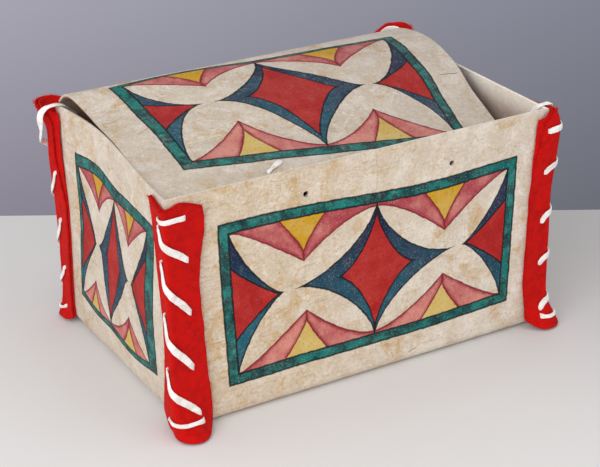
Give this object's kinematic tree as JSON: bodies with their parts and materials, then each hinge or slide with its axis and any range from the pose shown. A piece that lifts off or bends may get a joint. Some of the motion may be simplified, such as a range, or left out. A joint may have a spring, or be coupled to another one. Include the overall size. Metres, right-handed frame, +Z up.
{
  "type": "parfleche case",
  "caption": "Box-shaped parfleche case of folded rawhide with a fold-hinged lid, corners bound in red wool strips laced with hide thongs.",
  "frame": {"origin": "centre of the box's flat bottom, on the plane that it stands on", "axes": "+X along the long side to the right, +Y to the back where the lid's fold is, +Z up"},
  "size_m": [0.4007, 0.2834, 0.2266],
  "materials": {
    "rawhide": "dry off-white rawhide, faintly mottled ochre, satin to matt, painted on its outer face",
    "wool_cloth": "scarlet fulled wool cloth with a short nap",
    "hide_thong": "white soft-tanned hide cut into flat thongs, matt"
  },
  "bodies": {
    "box": {"bottom_panel": "rawhide", "front_wall": "rawhide", "back_wall": "rawhide", "left_end": "rawhide", "right_end": "rawhide", "corner_cloth_front_left": "wool_cloth", "corner_cloth_front_right": "wool_cloth", "corner_cloth_back_left": "wool_cloth", "corner_cloth_back_right": "wool_cloth", "corner_lacing_front_left": "hide_thong", "corner_lacing_front_right": "hide_thong", "corner_lacing_back_left": "hide_thong", "corner_lacing_back_right": "hide_thong"},
    "lid": {"lid": "rawhide", "lid_tie_left": "hide_thong", "lid_tie_right": "hide_thong"}
  },
  "joints": [
    {"name": "lid_fold", "type": "hinge", "parent": "box", "child": "lid", "pos_m": [0, 0.1188, 0.2115], "axis": [-1, 0, 0], "range_deg": [0, 110]}
  ]
}
